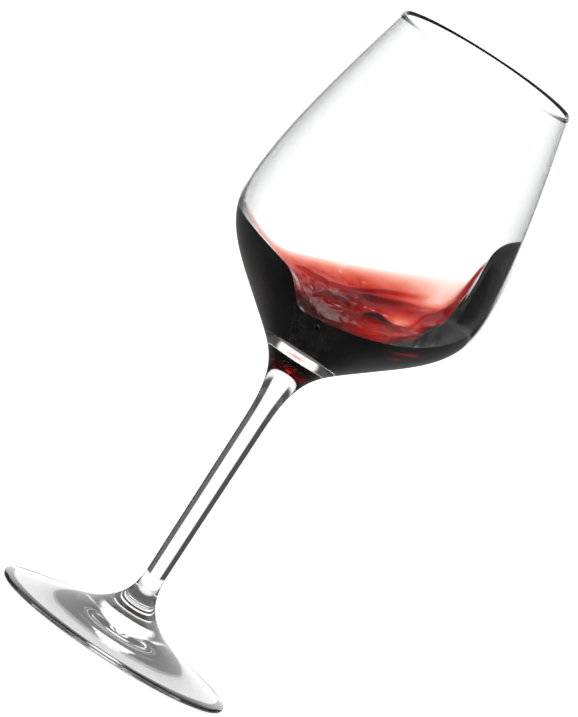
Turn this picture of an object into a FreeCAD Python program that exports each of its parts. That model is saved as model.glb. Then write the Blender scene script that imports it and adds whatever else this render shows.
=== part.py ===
"""Stemmed glass of red wine, caught while the wine swirls.

The glass is one piece: a foot with a hollow underside, a slim stem and a tulip
bowl, turned about +Z and standing on the flat ring of its foot at z = 0. The
wine is the second piece. It lies against the whole inside of the bowl below a
free surface that dishes in the middle, climbs the far wall as a thinning layer
and runs up the +X wall as a blunt tongue.

Millimetres, +Z up, origin on the axis in the plane that the foot stands on.
"""

import FreeCAD
import Part

import math
import os

from FreeCAD import Vector

# Overall sizes of the glass.
HEIGHT = 225.0
FOOT_RADIUS = 42.0
BOWL_RADIUS = 45.3
RIM_RADIUS = 32.0

# Foot: a rounded edge, a flat standing ring and a shallow hollow under the stem.
FOOT_EDGE = 1.9
FOOT_SLOPE = 16.0
STANDING_RING = 2.5
HOLLOW_HEIGHT = 3.4
FOOT_SWEEP = 22.8
FOOT_NECK = 18.5

# Stem: it runs from the neck of the foot to the flare under the bowl.
STEM_BOTTOM = 27.0
STEM_TOP = 84.0
STEM_BOTTOM_RADIUS = 3.5
STEM_TOP_RADIUS = 3.85
FLARE_LENGTH = 20.0

# Bowl: a cone, a rounded shoulder and a wall that draws in to the rim.
CONE_ANGLE = 39.5
CONE_START_RADIUS = 17.4
CONE_START_HEIGHT = 116.0
CONE_LENGTH = 14.0
FLARE_REACH = 13.0
SHOULDER_REACH = 15.0
SHOULDER_HEIGHT = 153.5
SHOULDER_DROP = 12.0
WALL_RISE = 18.0
RIM_LEAN = 14.5
RIM_REACH = 24.0

# Thickness of the glass at the rim, the shoulder, the cone and the bowl's floor.
RIM_WALL = 0.8
SHOULDER_WALL = 1.3
CONE_WALL = 2.0
BOWL_FLOOR = 116.4
CUP_RADIUS = 17.0
CUP_FLAT = 8.0
CUP_REACH = 3.5

# Depth of the wine in the middle of the swirl, the least that it climbs at the wall,
# and how quickly it turns up there.
POOL_DEPTH = 8.1
POOL_HEIGHT = BOWL_FLOOR + POOL_DEPTH
EDGE_RISE = 3.0
DISH_DEPTH = 0.6

# Swell of the wine's edge: it falls away quickly on the near side and slowly on the
# far side. Angles are from +X, towards the far side.
SWELL_ANGLE = 5.0
SWELL_RISE = 36.0
SWELL_NEAR = 35.0
SWELL_FAR = 88.0
SWELL_ROUNDING = 6.0

# Lobe against the -X wall, which stops at a steep flank on the near side.
LOBE_ANGLE = 185.0
LOBE_RISE = 16.0
LOBE_FAR = 34.0
LOBE_NEAR = 95.0
LOBE_FLANK = 65.0
LOBE_STEP = 4.0

# Tongue on the +X wall: a blunt step at each side and one peak between them.
TONGUE_START = -9.0
TONGUE_END = 36.0
TONGUE_STEP = 3.5
TONGUE_RISE = 11.0
PEAK_ANGLE = 0.0
PEAK_RISE = 9.0
PEAK_SPREAD = 9.0

# Mound of wine behind the lobe, where the surface runs straight up to the wall.
MOUND_ANGLE = 222.0
MOUND_SPREAD = 44.0
MOUND_STEEPNESS = 1.2

# Depth of the wine in from the wall, where it thins beside the tongue, the tongue's
# own flat inner face, and how bluntly the wine ends at its edge.
LAYER_DEPTH = 10.0
THIN_ANGLE = 37.0
THIN_SPREAD = 24.0
THINNING = 7.0
TONGUE_DEPTH = 8.2
TONGUE_DEPTH_SPREAD = 26.0
TONGUE_FACE_SPREAD = 33.0
LAYER_BLUNTNESS = 2.0
TONGUE_BLUNTNESS = 20.0

# The free surface is shaped on rings and spokes, closer together towards the wall,
# and runs on a little past the wall.
RINGS = 30
RINGS_PAST_WALL = 3
RING_CROWDING = 1.35
SPOKES = 144
SURFACE_DEGREE = 3
SURFACE_OVERRUN = 4.0
TOOL_RADIUS = 70.0
TOOL_FLOOR = 100.0


def meridian(radius, height):
    """A point of the half section, in the XZ plane."""
    return Vector(radius, 0, height)


def heading(degrees):
    """Unit vector of the half section that points outwards and up at this angle."""
    angle = math.radians(degrees)
    return meridian(math.cos(angle), math.sin(angle))


def bezier(*poles):
    curve = Part.BezierCurve()
    curve.setPoles(list(poles))
    return curve


def line(start, end):
    return Part.LineSegment(start, end)


def bowl_curves(cone_start, cone_end, shoulder, rim, share):
    """Cone, shoulder and wall of one face of the bowl, from the bottom up."""
    up = meridian(0, 1)
    out = heading(CONE_ANGLE)
    lean = heading(90 + RIM_LEAN)
    cone = line(cone_start, cone_end)
    turn = bezier(
        cone_end,
        cone_end + out * SHOULDER_REACH * share,
        shoulder - up * SHOULDER_DROP * share,
        shoulder,
    )
    wall = bezier(shoulder, shoulder + up * WALL_RISE, rim - lean * RIM_REACH, rim)
    return [cone, turn, wall]


def outer_curves():
    cone_start = meridian(CONE_START_RADIUS, CONE_START_HEIGHT)
    cone_end = cone_start + heading(CONE_ANGLE) * CONE_LENGTH
    shoulder = meridian(BOWL_RADIUS, SHOULDER_HEIGHT)
    rim = meridian(RIM_RADIUS, HEIGHT - RIM_WALL / 2)
    return bowl_curves(cone_start, cone_end, shoulder, rim, 1.0)


def inner_curves():
    """The inside of the bowl from the middle of its floor to the rim."""
    inset = heading(CONE_ANGLE + 90) * CONE_WALL
    slope = math.tan(math.radians(CONE_ANGLE))
    outer_end = outer_curves()[0].EndPoint
    cone_end = outer_end + inset
    cup_drop = (cone_end.x - CUP_RADIUS) * slope
    cup_edge = meridian(CUP_RADIUS, cone_end.z - cup_drop)
    shoulder = meridian(BOWL_RADIUS - SHOULDER_WALL, SHOULDER_HEIGHT)
    rim = meridian(RIM_RADIUS - RIM_WALL, HEIGHT - RIM_WALL / 2)
    share = 1 - SHOULDER_WALL / (BOWL_RADIUS - CONE_START_RADIUS)
    cup = bezier(
        meridian(0, BOWL_FLOOR),
        meridian(CUP_FLAT, BOWL_FLOOR),
        cup_edge - heading(CONE_ANGLE) * CUP_REACH,
        cup_edge,
    )
    return [cup] + bowl_curves(cup_edge, cone_end, shoulder, rim, share)


def foot_curves():
    """From the middle of the hollow, over the standing ring, to the stem."""
    edge_radius = FOOT_EDGE / 2
    edge_centre = meridian(FOOT_RADIUS - edge_radius, edge_radius)
    ring_outer = edge_centre - meridian(0, edge_radius)
    ring_inner = ring_outer - meridian(STANDING_RING, 0)
    dome = (ring_inner.x**2 + HOLLOW_HEIGHT**2) / (2 * HOLLOW_HEIGHT)
    half_turn = math.asin(ring_inner.x / dome) / 2
    dome_middle = meridian(
        dome * math.sin(half_turn), HOLLOW_HEIGHT - dome * (1 - math.cos(half_turn))
    )
    hollow = Part.Arc(meridian(0, HOLLOW_HEIGHT), dome_middle, ring_inner)
    top_normal = heading(90 - FOOT_SLOPE)
    edge_end = edge_centre + top_normal * edge_radius
    edge = Part.Arc(ring_outer, edge_centre + meridian(edge_radius, 0), edge_end)
    inwards = heading(180 - FOOT_SLOPE)
    stem_start = meridian(STEM_BOTTOM_RADIUS, STEM_BOTTOM)
    top = bezier(
        edge_end,
        edge_end + inwards * FOOT_SWEEP,
        stem_start - meridian(0, FOOT_NECK),
        stem_start,
    )
    return [hollow, line(ring_inner, ring_outer), edge, top]


def stem_curves():
    """The stem and the flare that carries it out into the cone of the bowl."""
    start = meridian(STEM_BOTTOM_RADIUS, STEM_BOTTOM)
    end = meridian(STEM_TOP_RADIUS, STEM_TOP)
    cone_start = outer_curves()[0].StartPoint
    flare = bezier(
        end,
        end + meridian(0, FLARE_LENGTH),
        cone_start - heading(CONE_ANGLE) * FLARE_REACH,
        cone_start,
    )
    return [line(start, end), flare]


def ends_of(curve):
    """First and last point of a curve of any of the kinds used here."""
    shape = curve.toShape()
    return shape.valueAt(shape.FirstParameter), shape.valueAt(shape.LastParameter)


def turned(curves):
    """Solid of revolution about Z of the region between the axis and these curves."""
    first, last = ends_of(curves[0])[0], ends_of(curves[-1])[1]
    edges = [curve.toShape() for curve in curves]
    axis_top = meridian(0, last.z)
    if last.x > 0:
        edges.append(line(last, axis_top).toShape())
    edges.append(line(axis_top, first).toShape())
    face = Part.Face(Part.Wire(edges))
    return face.revolve(Vector(0, 0, 0), Vector(0, 0, 1), 360)


def make_glass():
    """Foot, stem and bowl in one piece, with a round lip at the rim."""
    outer_rim = outer_curves()[-1]
    inner_rim = inner_curves()[-1]
    outer_top, inner_top = ends_of(outer_rim)[1], ends_of(inner_rim)[1]
    lip_top = (outer_top + inner_top) / 2 + meridian(0, RIM_WALL / 2)
    lip = Part.Arc(outer_top, lip_top, inner_top)
    rising = foot_curves() + stem_curves() + outer_curves()
    edges = [curve.toShape() for curve in rising + [lip] + inner_curves()]
    floor_middle, hollow_middle = meridian(0, BOWL_FLOOR), meridian(0, HOLLOW_HEIGHT)
    edges.append(line(floor_middle, hollow_middle).toShape())
    face = Part.Face(Part.Wire(Part.__sortEdges__(edges)))
    return face.revolve(Vector(0, 0, 0), Vector(0, 0, 1), 360)


def wall_radius(height, curves):
    """Inside radius of the bowl at a height."""
    for curve in curves:
        low, high = ends_of(curve)
        if height <= high.z or curve is curves[-1]:
            break
    start, end = curve.FirstParameter, curve.LastParameter
    for _ in range(40):
        middle = (start + end) / 2
        if curve.value(middle).z < height:
            start = middle
        else:
            end = middle
    return curve.value((start + end) / 2).x


def turn_between(angle, other):
    """Smallest turn from one angle to another, in degrees."""
    return (angle - other + 180) % 360 - 180


def bump(offset, spread):
    return math.exp(-((offset / spread) ** 2))


def step_down(offset, softness):
    """1 before an edge and 0 after it."""
    return 0.5 - 0.5 * math.tanh(offset / softness)


def flat_bump(offset, spread):
    return math.exp(-((offset / spread) ** 4))


def tongue_share(angle):
    """1 within the tongue, 0 away from it, with a soft step at each side."""
    turn = turn_between(angle, (TONGUE_START + TONGUE_END) / 2)
    return step_down(abs(turn) - (TONGUE_END - TONGUE_START) / 2, TONGUE_STEP)


def swell(angle):
    turn = turn_between(angle, SWELL_ANGLE)
    if turn >= 0:
        return bump(turn, SWELL_FAR)
    past = math.sqrt(turn**2 + SWELL_ROUNDING**2) - SWELL_ROUNDING
    return math.exp(-past / SWELL_NEAR)


def lobe(angle):
    turn = turn_between(angle, LOBE_ANGLE)
    rise = bump(turn, LOBE_FAR if turn < 0 else LOBE_NEAR)
    return rise * step_down(turn - LOBE_FLANK, LOBE_STEP)


def edge_height(angle):
    """Height at which the wine's surface meets the wall."""
    height = POOL_HEIGHT + EDGE_RISE + TONGUE_RISE * tongue_share(angle)
    height += PEAK_RISE * bump(turn_between(angle, PEAK_ANGLE), PEAK_SPREAD)
    return height + SWELL_RISE * swell(angle) + LOBE_RISE * lobe(angle)


def layer_depth(angle):
    """Depth of the wine in from the wall."""
    thin = THINNING * bump(turn_between(angle, THIN_ANGLE), THIN_SPREAD)
    beside = turn_between(angle, PEAK_ANGLE)
    face = flat_bump(beside, TONGUE_FACE_SPREAD)
    tongue = TONGUE_DEPTH * flat_bump(beside, TONGUE_DEPTH_SPREAD)
    return (LAYER_DEPTH - thin) * (1 - face) + tongue * face


def surface_point(angle, share, curves):
    """Point of the free surface: share is 0 in the middle and 1 at the wall."""
    climb = edge_height(angle) - POOL_HEIGHT
    mound = bump(turn_between(angle, MOUND_ANGLE), MOUND_SPREAD)
    height = POOL_HEIGHT + climb * share ** (2 - MOUND_STEEPNESS * mound)
    depth = layer_depth(angle)
    blunt = LAYER_BLUNTNESS + (TONGUE_BLUNTNESS - LAYER_BLUNTNESS) * tongue_share(angle)
    pool_radius = wall_radius(POOL_HEIGHT, curves)
    turn_up = math.exp(-share * math.sqrt(climb / DISH_DEPTH))
    inset = (depth + (pool_radius - depth) * turn_up) * (1 - share**blunt)
    radius = wall_radius(height, curves) - inset
    edge_radius = wall_radius(POOL_HEIGHT + climb, curves)
    radius += (edge_radius * share - radius) * mound
    return radius, height


def spoke_points(angle, curves):
    """Points of the free surface along one spoke, from the middle to past the wall."""
    points = []
    for ring in range(RINGS):
        share = 1 - (1 - ring / (RINGS - 1)) ** RING_CROWDING
        points.append(surface_point(angle, share, curves))
    edge_radius, height = points[-1]
    for step in range(1, RINGS_PAST_WALL + 1):
        points.append((edge_radius + SURFACE_OVERRUN * step, height))
    turn = math.radians(angle)
    return [Vector(r * math.cos(turn), r * math.sin(turn), z) for r, z in points]


def free_surface():
    """The wine's surface as one smooth sheet, closed on itself round the axis."""
    curves = inner_curves()
    grid = [spoke_points(360 * spoke / SPOKES, curves) for spoke in range(SPOKES)]
    knots_along = RINGS + RINGS_PAST_WALL - SURFACE_DEGREE + 1
    end_knot = SURFACE_DEGREE + 1
    sheet = Part.BSplineSurface()
    sheet.buildFromPolesMultsKnots(
        grid,
        [1] * (SPOKES + 1),
        [end_knot] + [1] * (knots_along - 2) + [end_knot],
        [float(knot) for knot in range(SPOKES + 1)],
        [float(knot) for knot in range(knots_along)],
        True,
        False,
        SURFACE_DEGREE,
        SURFACE_DEGREE,
    )
    return sheet


def below_the_surface():
    """Solid of everything under the free surface, out past the wall of the bowl."""
    sheet = free_surface().toShape()
    rim = max(sheet.Edges, key=lambda edge: edge.Length)
    circle = Part.makeCircle(TOOL_RADIUS, Vector(0, 0, TOOL_FLOOR))
    skirt = Part.makeRuledSurface(rim, circle)
    floor = Part.Face(Part.Wire([circle]))
    solid = Part.Solid(Part.makeShell([sheet, skirt, floor]))
    if solid.Volume < 0:
        solid.reverse()
    return solid


def make_wine():
    """The inside of the bowl up to the wine's surface, face to face with the glass."""
    bowl_inside = turned(inner_curves())
    return bowl_inside.common(below_the_surface()).Solids[0]


def main():
    os.makedirs("parts", exist_ok=True)
    make_glass().exportStep("parts/glass.step")
    make_wine().exportStep("parts/wine.step")


main()
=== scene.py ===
import math

import bpy
import numpy as np
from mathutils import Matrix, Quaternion, Vector, noise


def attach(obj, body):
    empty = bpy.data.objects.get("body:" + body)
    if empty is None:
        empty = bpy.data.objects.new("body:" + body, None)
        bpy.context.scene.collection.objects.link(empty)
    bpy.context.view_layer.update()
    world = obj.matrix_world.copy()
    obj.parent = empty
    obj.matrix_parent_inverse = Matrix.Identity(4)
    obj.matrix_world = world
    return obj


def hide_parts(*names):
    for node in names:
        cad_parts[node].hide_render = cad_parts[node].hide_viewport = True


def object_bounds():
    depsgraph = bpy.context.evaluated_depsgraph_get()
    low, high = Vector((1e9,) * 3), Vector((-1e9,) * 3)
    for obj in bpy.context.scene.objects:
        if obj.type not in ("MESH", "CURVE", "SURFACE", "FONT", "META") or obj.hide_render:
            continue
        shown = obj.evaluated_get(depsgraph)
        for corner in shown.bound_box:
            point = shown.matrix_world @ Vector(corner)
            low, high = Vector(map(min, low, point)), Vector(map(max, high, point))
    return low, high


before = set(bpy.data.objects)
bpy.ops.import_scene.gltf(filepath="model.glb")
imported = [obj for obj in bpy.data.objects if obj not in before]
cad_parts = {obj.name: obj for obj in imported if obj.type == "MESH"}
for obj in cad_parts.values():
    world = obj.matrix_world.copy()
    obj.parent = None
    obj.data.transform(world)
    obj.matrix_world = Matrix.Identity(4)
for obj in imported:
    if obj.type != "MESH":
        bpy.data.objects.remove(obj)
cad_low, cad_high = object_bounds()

scene = bpy.context.scene
scene.view_settings.view_transform = "Standard"

# Camera. A long lens some metres away, a little above the middle of the glass, and
# rolled so that the upright glass leans across the frame.
glass_height = cad_high.z - cad_low.z
camera_distance = 6
looking_down, rolled = math.radians(7.5), math.radians(33)
aimed_at = Vector((-0.0089, 0, 0.4862)) * glass_height
backwards = Vector((0, -math.cos(looking_down), math.sin(looking_down)))
camera_data = bpy.data.cameras.new("camera")
camera_data.sensor_width = 36
camera_data.lens = 930
camera_data.clip_start = 0.1
camera_data.clip_end = 100
camera = bpy.data.objects.new("camera", camera_data)
scene.collection.objects.link(camera)
scene.camera = camera
camera.location = aimed_at + backwards * camera_distance
camera.rotation_mode = "QUATERNION"
lean = Quaternion((0, 0, 1), rolled)
camera.rotation_quaternion = (-backwards).to_track_quat("-Z", "Y") @ lean


# Studio light. White sheets stand behind the glass and on its left, and more white lies
# low and hangs high all round, with a small lamp overhead. The dark gaps between them
# draw the dark edges of clear glass. Angles are in degrees, and those of height, low
# and high edges and lamp, are above the horizon. What mirrored rays see of the low
# white is dimmed.
sheet_edge, low_edge, high_edge = (15, 26), (-13, -9.5), (10, 24)
open_top_edge, open_top_light = (46, 62), 0.12
lamp_edge, lamp_light = (81, 84), 8
gap_light, white_light, sheet_gain = 0.08, 1.2, 1.13
low_white_in_mirrors = 0.15


def linked(tree, kind, inputs=None, **settings):
    """A new node of this kind, with its settings, and its inputs set or linked."""
    node = tree.nodes.new("ShaderNode" + kind)
    for name, value in settings.items():
        setattr(node, name, value)
    for name, value in (inputs or {}).items():
        if isinstance(value, bpy.types.NodeSocket):
            tree.links.new(value, node.inputs[name])
        else:
            node.inputs[name].default_value = value
    return node


def combined(tree, operation, first, second):
    """Two values joined by a sum, a product or the larger of the two."""
    return linked(tree, "Math", {0: first, 1: second}, operation=operation).outputs[0]


def smooth_step(tree, value, start, end, low=0.0, high=1.0):
    """The value turned from low at start to high at end, with soft ends."""
    inputs = {"Value": value, "From Min": start, "From Max": end}
    inputs.update({"To Min": low, "To Max": high})
    node = linked(tree, "MapRange", inputs, interpolation_type="SMOOTHSTEP")
    return node.outputs["Result"]


studio = bpy.data.worlds.new("studio")
scene.world = studio
studio.use_nodes = True
sky = studio.node_tree
sky.nodes.clear()
outwards = linked(sky, "TexCoord").outputs["Generated"]
height = linked(sky, "SeparateXYZ", {0: outwards}).outputs["Z"]
level = linked(sky, "VectorMath", {0: outwards, 1: (1, 1, 0)}, operation="MULTIPLY")
level = linked(sky, "VectorMath", {0: level.outputs[0]}, operation="NORMALIZE").outputs[0]


def sheet_towards(direction):
    """1 towards this level direction, falling to 0 at the soft edge of the sheet."""
    facing = linked(sky, "VectorMath", {0: level, 1: direction}, operation="DOT_PRODUCT")
    end, start = (math.cos(math.radians(angle)) for angle in sheet_edge)
    return smooth_step(sky, facing.outputs["Value"], start, end)


def by_height(edge, low=0.0, high=1.0):
    """A value that turns from low to high between two angles above the horizon."""
    start, end = (math.sin(math.radians(angle)) for angle in edge)
    return smooth_step(sky, height, start, end, low, high)


sheets = combined(sky, "MAXIMUM", sheet_towards((0, 1, 0)), sheet_towards((-1, 0, 0)))
low_white = by_height(low_edge, 1, 0)
high_white = combined(sky, "MULTIPLY", by_height(high_edge), by_height(open_top_edge, 1, open_top_light))
white = combined(sky, "MAXIMUM", combined(sky, "MAXIMUM", sheets, low_white), high_white)
light = smooth_step(sky, white, 0, 1, gap_light, white_light)
light = combined(sky, "MULTIPLY", light, smooth_step(sky, sheets, 0, 1, 1, sheet_gain))
light = combined(sky, "ADD", light, by_height(lamp_edge, 0, lamp_light))
mirrored = linked(sky, "LightPath").outputs["Glossy Depth"]
mirrored_low = combined(sky, "MULTIPLY", mirrored, low_white)
light = combined(sky, "MULTIPLY", light, smooth_step(sky, mirrored_low, 0, 1, 1, low_white_in_mirrors))
background = linked(sky, "Background", {"Color": (1, 1, 1, 1), "Strength": light})
linked(sky, "OutputWorld", {"Surface": background.outputs[0]})


# Floor. A pale matt card with a fine grain, lit through from below as on a light table.
# The glass stands on it, and its edge fades out, so that it runs into the white behind.
floor_reach = 1.7 * (cad_high.x - cad_low.x)
floor_level = cad_low.z - 0.0002
floor_corners, fading_from = 96, 0.4
grain_scale, grain_tints, light_from_below, card_in_mirrors = 900, (0.42, 0.46), 0.72, 0.08


def mesh_piece(name, points, faces, smooth=True):
    """A mesh object from points in metres and faces as lists of point numbers."""
    mesh = bpy.data.meshes.new(name)
    mesh.from_pydata([tuple(p) for p in points], [], [tuple(f) for f in faces])
    mesh.polygons.foreach_set("use_smooth", [smooth] * len(mesh.polygons))
    mesh.update()
    piece = bpy.data.objects.new(name, mesh)
    scene.collection.objects.link(piece)
    return piece


def new_material(name):
    """An empty node material and its tree."""
    material = bpy.data.materials.new(name)
    material.use_nodes = True
    material.node_tree.nodes.clear()
    return material, material.node_tree


def pale_card():
    card, tree = new_material("pale_card")
    place = linked(tree, "TexCoord").outputs["Object"]
    away = linked(tree, "VectorMath", {0: place}, operation="LENGTH").outputs["Value"]
    grain = linked(tree, "TexNoise", {"Vector": place, "Scale": grain_scale, "Detail": 4})
    tints = {"Value": grain.outputs["Fac"], "To Min": grain_tints[0], "To Max": grain_tints[1]}
    tint = linked(tree, "MapRange", tints).outputs[0]
    # Painted shade: mirrored rays see the card's colour and glow dimmed, so that the glass shows dark
    # edges.
    mirrored = linked(tree, "LightPath").outputs["Glossy Depth"]
    damped = smooth_step(tree, mirrored, 0, 1, 1, card_in_mirrors)
    matt = linked(tree, "BsdfDiffuse", {"Color": combined(tree, "MULTIPLY", tint, damped)})
    glow = linked(tree, "Emission", {"Strength": combined(tree, "MULTIPLY", damped, light_from_below)})
    lit_card = linked(tree, "AddShader", {0: matt.outputs[0], 1: glow.outputs[0]})
    fade = smooth_step(tree, away, floor_reach * fading_from, floor_reach)
    gone = linked(tree, "BsdfTransparent")
    faded = linked(tree, "MixShader", {0: fade, 1: lit_card.outputs[0], 2: gone.outputs[0]})
    linked(tree, "OutputMaterial", {"Surface": faded.outputs[0]})
    return card


turns = np.linspace(0, 2 * math.pi, floor_corners, endpoint=False)
ring = np.stack([np.cos(turns), np.sin(turns), np.zeros(floor_corners)], axis=1) * floor_reach
floor = mesh_piece("floor", ring + [0, 0, floor_level], [range(floor_corners)], smooth=False)
floor.data.materials.append(pale_card())


# Glass. One blown and drawn piece of clear glass: a foot that is hollow underneath, a
# slim stem and a thin-walled bowl with a fire-polished rim. Half its section, as pairs
# of radius and height in millimetres, is turned about the axis.
mm = 0.001
rim_height = glass_height / mm
bowl_radius = cad_high.x / mm
foot_radius, foot_edge, foot_slope, standing_ring, hollow_height = 42.0, 1.9, 16.0, 2.5, 3.4
stem_low, stem_high = np.array([3.5, 27.0]), np.array([3.85, 84.0])
foot_sweep, foot_neck, stem_flare, cone_flare = 22.8, 18.5, 20.0, 13.0
cone_low, cone_angle, cone_length = np.array([17.4, 116.0]), 39.5, 14.0
cone_pull, shoulder_pull, wall_pull, rim_pull, wall_lean = 15.0, 12.0, 18.0, 24.0, 14.5
shoulder_height, rim_radius = 153.5, 32.0
cone_wall, shoulder_wall, rim_wall = 2.0, 1.3, 0.8
bowl_floor, cup_radius, cup_flat, cup_reach = 116.4, 17.0, 8.0, 3.5
up = np.array([0.0, 1.0])


def heading(degrees):
    """Unit vector in the half section, outwards and up at this angle."""
    return np.array([math.cos(math.radians(degrees)), math.sin(math.radians(degrees))])


def bend(start, start_pull, end_pull, end, count):
    """Points of a smooth bend between two places, without its last point."""
    t = np.linspace(0, 1, count, endpoint=False)[:, None]
    poles = [np.asarray(p, dtype=float) for p in (start, start_pull, end_pull, end)]
    a, b, c, d = poles
    return a * (1 - t) ** 3 + 3 * b * t * (1 - t) ** 2 + 3 * c * t * t * (1 - t) + d * t**3


def straight(start, end, count):
    """Points of a straight stretch, without its last point."""
    t = np.linspace(0, 1, count, endpoint=False)[:, None]
    return np.asarray(start) * (1 - t) + np.asarray(end) * t


def rounded(centre, radius, start, end, count):
    """Points of an arc between two angles in degrees, without its last point."""
    angles = np.radians(np.linspace(start, end, count, endpoint=False))
    arc = np.stack([np.cos(angles), np.sin(angles)], axis=1) * radius
    return np.asarray(centre) + arc


def bowl_side(cone_end, shoulder, rim, share):
    """Shoulder and wall of one face of the bowl, from the cone up to the rim."""
    out, drawn_in = heading(cone_angle), heading(90 + wall_lean)
    low_pull, high_pull = cone_end + out * cone_pull * share, shoulder - up * shoulder_pull * share
    turn = bend(cone_end, low_pull, high_pull, shoulder, 44)
    wall = bend(shoulder, shoulder + up * wall_pull, rim - drawn_in * rim_pull, rim, 60)
    return [turn, wall, [rim]]


edge_centre = np.array([foot_radius - foot_edge / 2, foot_edge / 2])
hollow_radius, hollow_rows = edge_centre[0] - standing_ring, 40
dome = (hollow_radius**2 + hollow_height**2) / (2 * hollow_height)
dome_turn = math.degrees(math.asin(hollow_radius / dome))
foot_top = edge_centre + heading(90 - foot_slope) * foot_edge / 2
foot_pull = foot_top + heading(180 - foot_slope) * foot_sweep
cone_pull_in = cone_low - heading(cone_angle) * cone_flare
cone_high = cone_low + heading(cone_angle) * cone_length
outer_shoulder = np.array([bowl_radius, shoulder_height])
outer_rim = np.array([rim_radius, rim_height - rim_wall / 2])
outside = np.vstack(
    [rounded((0, hollow_height - dome), dome, 90, 90 - dome_turn, hollow_rows)]
    + [straight((hollow_radius, 0), (edge_centre[0], 0), 4)]
    + [rounded(edge_centre, foot_edge / 2, -90, 90 - foot_slope, 16)]
    + [bend(foot_top, foot_pull, stem_low - up * foot_neck, stem_low, 60)]
    + [straight(stem_low, stem_high, 24)]
    + [bend(stem_high, stem_high + up * stem_flare, cone_pull_in, cone_low, 40)]
    + [straight(cone_low, cone_high, 20)]
    + bowl_side(cone_high, outer_shoulder, outer_rim, 1)
)
lip = rounded((rim_radius - rim_wall / 2, rim_height - rim_wall / 2), rim_wall / 2, 0, 180, 12)
inner_end = cone_high + heading(cone_angle + 90) * cone_wall
cup_drop = (inner_end[0] - cup_radius) * math.tan(math.radians(cone_angle))
cup_edge = np.array([cup_radius, inner_end[1] - cup_drop])
cup_pull = cup_edge - heading(cone_angle) * cup_reach
inner_share = 1 - shoulder_wall / (bowl_radius - cone_low[0])
inner_shoulder = np.array([bowl_radius - shoulder_wall, shoulder_height])
inner_rim = np.array([rim_radius - rim_wall, rim_height - rim_wall / 2])
inside = np.vstack(
    [bend((0, bowl_floor), (cup_flat, bowl_floor), cup_pull, cup_edge, 24)]
    + [straight(cup_edge, inner_end, 26)]
    + bowl_side(inner_end, inner_shoulder, inner_rim, inner_share)
)


def bowl_inside(height_mm):
    """Inside radius of the bowl at a height, in millimetres."""
    return np.interp(height_mm, inside[:, 1], inside[:, 0])


# Line up to which the wine wets the wall, where the finish of the glass changes. It
# rises all round as a swell that is highest near +X, with a tongue and a peak on it,
# and as a lobe across the bowl that breaks off at its near flank. Angles are in
# degrees from +X.
pool_depth, edge_rise = 8.1, 3.0
pool_height = bowl_floor + pool_depth
swell_angle, swell_rise, swell_near, swell_far, swell_rounding = 5, 36, 35, 88, 6
tongue_middle, tongue_reach, tongue_step, tongue_rise = 13.5, 22.5, 3.5, 11
peak_angle, peak_rise, peak_spread = 0, 9, 9
lobe_angle, lobe_rise, lobe_far, lobe_near, lobe_flank, lobe_step = 185, 16, 34, 95, 65, 4.0


def turn_from(angle, other):
    """Turn between two angles, from -180 to 180 degrees."""
    return (angle - other + 180) % 360 - 180


def hump(offset, spread):
    """1 in the middle, falling off smoothly to both sides."""
    return np.exp(-((offset / spread) ** 2))


def step_down(offset, softness):
    """1 before an edge and 0 after it."""
    return 0.5 - 0.5 * np.tanh(offset / softness)


def tongue_share(angle):
    """1 within the tongue, 0 away from it, with a soft step at each side."""
    return step_down(np.abs(turn_from(angle, tongue_middle)) - tongue_reach, tongue_step)


def wetted_height(angle):
    """Height up to which the wine wets the wall, all round the bowl."""
    height_mm = pool_height + edge_rise + tongue_rise * tongue_share(angle)
    height_mm = height_mm + peak_rise * hump(turn_from(angle, peak_angle), peak_spread)
    turn = turn_from(angle, swell_angle)
    near_side = np.exp(-(np.sqrt(turn**2 + swell_rounding**2) - swell_rounding) / swell_near)
    height_mm = height_mm + swell_rise * np.where(turn < 0, near_side, hump(turn, swell_far))
    turn = turn_from(angle, lobe_angle)
    lobe = lobe_rise * hump(turn, np.where(turn < 0, lobe_far, lobe_near))
    return height_mm + lobe * step_down(turn - lobe_flank, lobe_step)


turn_steps = 384
angles = np.arange(turn_steps) * 360 / turn_steps
cosines, sines = np.cos(np.radians(angles)), np.sin(np.radians(angles))
edge = wetted_height(angles)


def ring_at(radius, height_mm):
    """One ring of points about the axis; radius and height may change round it."""
    ones = np.ones(turn_steps)
    return np.stack([radius * cosines, radius * sines, height_mm * ones], axis=1)


def skin(first_height, rings, last_height=None):
    """Points and faces over rings that start at a point on the axis, and close there
    again if a last height is given."""
    count = len(rings)
    points = [np.array([[0, 0, first_height]])] + rings
    i = np.arange(turn_steps)
    j = (i + 1) % turn_steps
    starts = 1 + turn_steps * np.arange(count - 1)[:, None]
    quads = np.stack([starts + i, starts + j, starts + turn_steps + j, starts + turn_steps + i], axis=2)
    faces = [(0, 1 + b, 1 + a) for a, b in zip(i, j)]
    faces += [tuple(q) for q in quads.reshape(-1, 4)]
    if last_height is not None:
        points.append(np.array([[0, 0, last_height]]))
        last = 1 + turn_steps * count
        faces += [(last - turn_steps + a, last - turn_steps + b, last) for a, b in zip(i, j)]
    return np.vstack(points) * mm, faces


# Surface of the glass. Outside, lip and dry wall, then the wetted wall with its rows
# closer together near the edge of the wine. Faint waves run along the draw of the
# blown glass, with a trace of smear in its polish.
dry_rows, wet_rows, wet_crowding = 50, 90, 1.6
glass_index, wine_index, foot_index = 1.5, 1.34, 1.42
glass_tint = (0.985, 0.99, 0.99, 1)

rings = [ring_at(radius, z) for radius, z in outside[1:]]
rings += [ring_at(radius, z) for radius, z in lip]
for share in np.linspace(0, 1, dry_rows + 1)[:-1]:
    z = inner_rim[1] + (edge - inner_rim[1]) * share
    rings.append(ring_at(bowl_inside(z), z))
dry_rings = len(rings)
for share in np.linspace(0, 1, wet_rows + 1)[:-1]:
    slow = 1 - (1 - share) ** wet_crowding
    z = edge + (bowl_floor - edge) * slow
    rings.append(ring_at(bowl_inside(z), z))
glass = mesh_piece("clear_glass", *skin(hollow_height, rings, bowl_floor))


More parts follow.
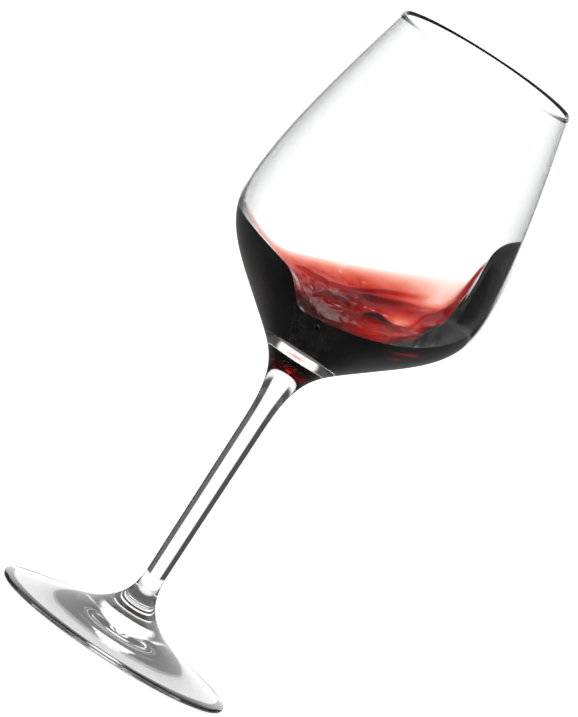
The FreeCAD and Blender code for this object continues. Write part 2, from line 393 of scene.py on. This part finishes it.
def blown_finish(name, index):
    """Clear glass with this index against what lies on its other side."""
    material, tree = new_material(name)
    place = linked(tree, "TexCoord").outputs["Object"]
    draw = linked(tree, "VectorMath", {0: place, 1: (1, 1, 0.35)}, operation="MULTIPLY").outputs[0]
    waves = linked(tree, "TexNoise", {"Vector": draw, "Scale": 45, "Detail": 1}).outputs["Fac"]
    swell = linked(tree, "Bump", {"Height": waves, "Strength": 0.05, "Distance": 0.0004})
    smear = linked(tree, "TexNoise", {"Vector": place, "Scale": 60, "Detail": 5}).outputs["Fac"]
    polish = smooth_step(tree, smear, 0.45, 0.75, 0.0, 0.02)
    look = {"Base Color": glass_tint, "Roughness": polish, "IOR": index}
    look.update({"Transmission Weight": 1, "Normal": swell.outputs[0]})
    clear = linked(tree, "BsdfPrincipled", look)
    linked(tree, "OutputMaterial", {"Surface": clear.outputs[0]})
    return material


glass.data.materials.append(blown_finish("blown_glass", glass_index))
glass.data.materials.append(blown_finish("wetted_glass", glass_index / wine_index))
glass.data.materials.append(blown_finish("glass_under_foot", foot_index))
finish_of_face = np.zeros(len(glass.data.polygons), dtype=np.int32)
finish_of_face[turn_steps * (dry_rings + 1) :] = 1
finish_of_face[: turn_steps * hollow_rows] = 2
glass.data.polygons.foreach_set("material_index", finish_of_face)
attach(glass, "root")
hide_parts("glass")


# Wine. Red wine in mid swirl: a pool at the bottom of the bowl whose surface dishes in
# the middle, climbs the far side as a thinning sheet and runs up one side as a blunt
# tongue. It wets the glass, so it reaches just into the wall.
layer_depth, thin_angle, thin_spread, thinning = 10, 47, 20, 8
tongue_depth, tongue_face, tongue_blend = 8.2, 26, 33
layer_bluntness, tongue_bluntness = 2.0, 24
taper, taper_angle, taper_spread = 0.2, 100, 62
mound_angle, mound_spread = 222, 44
side_mound, side_mound_angle, side_mound_spread = 0.3, 285, 30
climb_curve, mound_curve, dish_depth = 2, 1.2, 0.6


def surface_grid(shares):
    """Points of the free surface: rings of it from the middle out to the wall."""
    climb = edge - pool_height
    edge_radius = bowl_inside(edge)
    heaped = hump(turn_from(angles, mound_angle), mound_spread)
    heaped = heaped + side_mound * hump(turn_from(angles, side_mound_angle), side_mound_spread)
    heaped = np.clip(heaped, 0, 1)
    beside = turn_from(angles, 0)
    depth = layer_depth - thinning * hump(turn_from(angles, thin_angle), thin_spread)
    flat_face = np.exp(-((beside / tongue_blend) ** 4))
    depth = depth * (1 - flat_face) + tongue_depth * np.exp(-((beside / tongue_face) ** 4)) * flat_face
    blunt = layer_bluntness + tongue_bluntness * tongue_share(angles)
    tapered = 1 + taper * hump(turn_from(angles, taper_angle), taper_spread)
    rows = []
    for share in shares:
        height_mm = pool_height + climb * share ** (climb_curve - mound_curve * heaped)
        turn_up = np.exp(-share * np.sqrt(climb / dish_depth))
        sheet = (depth + (bowl_inside(pool_height) - depth) * turn_up) * (1 - share**blunt) ** tapered
        radius = bowl_inside(height_mm) - sheet
        radius = radius + (edge_radius * share - radius) * heaped
        rows.append(ring_at(radius, height_mm))
    return np.array(rows)


# Folds that the swirl leaves in the climbing wine: the angles where each starts and
# ends, how far out on the surface it starts and ends as a share of the way from the
# middle to the edge, how thick it is in millimetres, and how wide as such a share.
folds = [
    (102, 52, 0.68, 0.88, 2.0, 0.028),
    (100, 48, 0.60, 0.73, 1.8, 0.024),
    (126, 96, 0.80, 0.60, 1.4, 0.030),
    (118, 60, 0.47, 0.50, 1.2, 0.028),
    (80, 24, 0.38, 0.46, 1.6, 0.030),
    (70, 30, 0.32, 0.36, 1.0, 0.022),
    (40, -40, 0.55, 0.74, 1.4, 0.030),
    (20, -50, 0.74, 0.86, 1.2, 0.025),
    (120, 78, 0.57, 0.50, 1.4, 0.060),
    (68, 34, 0.38, 0.46, 3.2, 0.045),
    (22, 92, 0.72, 0.50, 2.6, 0.075),
]
fold_sway, sway_rate = 0.02, 9
unevenness = ((0.5, 0.16), (0.2, 0.45))  # height in mm, and how often per mm


def fold_height(shares, start, end, share_start, share_end, thick, wide):
    """How far one fold lifts the surface, over the whole grid, in millimetres."""
    along = (turn_from(angles, start) * np.sign(end - start)) / abs(end - start)
    window = np.where((along > 0) & (along < 1), np.sin(np.pi * np.clip(along, 0, 1)) ** 0.7, 0)
    middle = share_start + (share_end - share_start) * along**2
    middle = middle + fold_sway * np.sin(along * sway_rate + start)
    return thick * window * hump(shares[:, None] - middle, wide)


def outward_normals(grid):
    """Unit vectors out of the wine at each point of its free surface."""
    round_step = np.roll(grid, -1, axis=1) - np.roll(grid, 1, axis=1)
    normals = np.cross(np.gradient(grid, axis=0), round_step)
    return normals / np.linalg.norm(normals, axis=2, keepdims=True)


surface_rows, surface_crowding = 160, 1.35
shares = 1 - (1 - np.linspace(0, 1, surface_rows + 1)[1:]) ** surface_crowding
grid = surface_grid(shares)
normals = outward_normals(grid)
lifted = np.zeros(grid.shape[:2])
for fold in folds:
    lifted += fold_height(shares, *fold)
for i, row in enumerate(grid):
    for j, point in enumerate(row):
        lifted[i, j] += sum(high * noise.noise(Vector(point) * often) for high, often in unevenness)
    lifted[i] *= min(1, 5 * (1 - shares[i])) ** 2 * min(1, 3 * shares[i])
grid = grid + normals * lifted[:, :, None]

# Body and film of the wine. One closed body holds the colour, and an open film just
# above its free surface bends and mirrors light as the surface of wine does. Where the
# body meets the glass, the wetted finish of the glass does that.
wall_rows, into_wall, film_gap, film_overlap = 70, 0.12, 0.02, 1.002
wine_colour, wine_strength = (0.84, 0.18, 0.0, 1), 1750

rings = list(grid)
for share in np.linspace(0, 1, wall_rows + 1)[:-1]:
    z = edge + (bowl_floor - edge) * share
    rings.append(ring_at(bowl_inside(z) + into_wall, z))
points, faces = skin(pool_height, rings, bowl_floor - into_wall)
film = grid + normals * film_gap
film[-1] = grid[-1] * [film_overlap, film_overlap, 1]
film_points, film_faces = skin(pool_height + film_gap, list(film))
film_faces = [tuple(len(points) + k for k in face) for face in film_faces]
wine = mesh_piece("swirling_wine", np.vstack([points, film_points]), faces + film_faces)
wine.data.flip_normals()


def red_wine():
    """The body: it colours the light that passes through it, and bends none."""
    material, tree = new_material("red_wine")
    look = {"Base Color": (1, 1, 1, 1), "Roughness": 0, "IOR": 1.0, "Transmission Weight": 1}
    unbent = linked(tree, "BsdfPrincipled", look)
    depth = linked(tree, "VolumeAbsorption", {"Color": wine_colour, "Density": wine_strength})
    linked(tree, "OutputMaterial", {"Surface": unbent.outputs[0], "Volume": depth.outputs[0]})
    return material


def wine_surface():
    """The film: a clear wet skin with small ripples."""
    material, tree = new_material("wine_surface")
    place = linked(tree, "TexCoord").outputs["Object"]
    ripple = linked(tree, "TexNoise", {"Vector": place, "Scale": 130, "Detail": 2}).outputs["Fac"]
    swell = linked(tree, "Bump", {"Height": ripple, "Strength": 0.15, "Distance": 0.001})
    look = {"Base Color": (1, 1, 1, 1), "Roughness": 0, "IOR": wine_index}
    look.update({"Transmission Weight": 1, "Normal": swell.outputs[0]})
    wet = linked(tree, "BsdfPrincipled", look)
    linked(tree, "OutputMaterial", {"Surface": wet.outputs[0]})
    return material


wine.data.materials.append(red_wine())
wine.data.materials.append(wine_surface())
part_of_face = np.zeros(len(wine.data.polygons), dtype=np.int32)
part_of_face[len(faces) :] = 1
wine.data.polygons.foreach_set("material_index", part_of_face)
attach(wine, "root")
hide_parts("wine")

bpy.context.view_layer.update()
